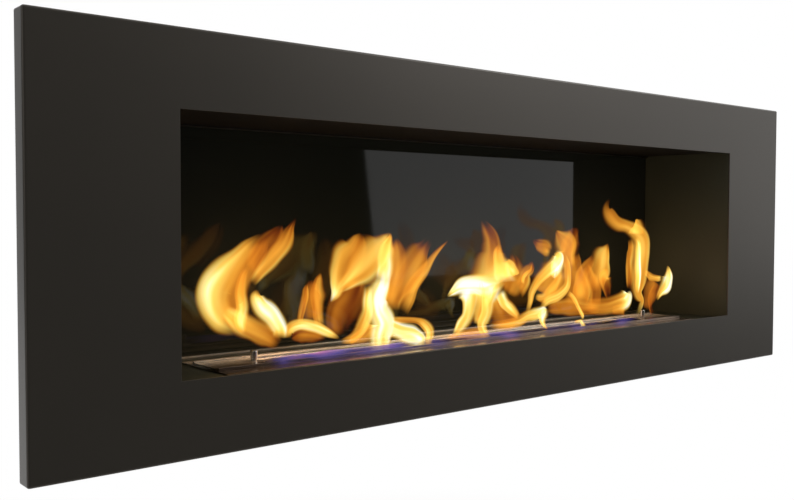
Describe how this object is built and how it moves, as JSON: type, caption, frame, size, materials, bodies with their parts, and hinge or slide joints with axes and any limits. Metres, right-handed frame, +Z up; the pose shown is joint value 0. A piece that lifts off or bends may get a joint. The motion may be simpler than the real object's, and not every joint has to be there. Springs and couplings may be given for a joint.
{
  "type": "bioethanol fireplace",
  "caption": "Wide recessed fireplace: a black steel surround with a letterbox opening, a firebox with a black glass back and a lift-out ribbon burner with sliding end dampers.",
  "frame": {"origin": "centre of the case's flat rear face, straight behind the middle of the surround", "axes": "+X to the right seen from the room, +Y into the wall, out of the case's rear face, +Z up"},
  "size_m": [1.2, 0.17, 0.4],
  "materials": {
    "satin_black": "satin",
    "liner_black": "satin",
    "galvanised": "satin",
    "zinc_plated": "satin",
    "black_glass": "gloss",
    "polished_steel": "gloss",
    "brushed_steel": "satin",
    "ceramic_fibre": "matte"
  },
  "bodies": {
    "housing": {"front_frame": "satin_black", "frame_nut_1": "zinc_plated", "frame_nut_2": "zinc_plated", "frame_nut_3": "zinc_plated", "frame_nut_4": "zinc_plated", "frame_nut_5": "zinc_plated", "frame_nut_6": "zinc_plated", "frame_nut_7": "zinc_plated", "frame_nut_8": "zinc_plated", "case_left": "galvanised", "case_right": "galvanised", "case_top": "galvanised", "case_bottom": "galvanised", "case_back": "galvanised", "back_screw_left_1": "zinc_plated", "back_screw_left_2": "zinc_plated", "back_screw_right_1": "zinc_plated", "back_screw_right_2": "zinc_plated", "back_screw_top_1": "zinc_plated", "back_screw_top_2": "zinc_plated", "back_screw_top_3": "zinc_plated", "liner_left": "liner_black", "liner_right": "liner_black", "liner_ceiling": "liner_black", "hearth_floor": "liner_black", "glass_strip_top": "liner_black", "liner_rivet_top_1": "zinc_plated", "liner_rivet_bottom_1": "zinc_plated", "liner_rivet_top_2": "zinc_plated", "liner_rivet_bottom_2": "zinc_plated", "liner_rivet_top_3": "zinc_plated", "liner_rivet_bottom_3": "zinc_plated", "liner_rivet_top_4": "zinc_plated", "liner_rivet_bottom_4": "zinc_plated", "back_glass": "black_glass", "glass_strip_bottom": "brushed_steel", "glass_pad_1": "ceramic_fibre", "glass_pad_2": "ceramic_fibre", "glass_pad_3": "ceramic_fibre", "glass_pad_4": "ceramic_fibre"},
    "burner": {"burner_top_plate": "polished_steel", "burner_tank": "brushed_steel", "ceramic_wool": "ceramic_fibre", "guide_rail_front": "brushed_steel", "guide_rail_rear": "brushed_steel"},
    "damper_left": {"damper_left": "polished_steel", "damper_knob_left": "polished_steel", "damper_screw_left": "zinc_plated"},
    "damper_right": {"damper_right": "polished_steel", "damper_knob_right": "polished_steel", "damper_screw_right": "zinc_plated"}
  },
  "joints": [
    {"name": "burner_lift", "type": "slide", "parent": "housing", "child": "burner", "axis": [0, 0, 1], "range_m": [0, 0.06]},
    {"name": "damper_left_slide", "type": "slide", "parent": "burner", "child": "damper_left", "axis": [1, 0, 0], "range_m": [0, 0.05]},
    {"name": "damper_right_slide", "type": "slide", "parent": "burner", "child": "damper_right", "axis": [-1, 0, 0], "range_m": [0, 0.05]}
  ]
}
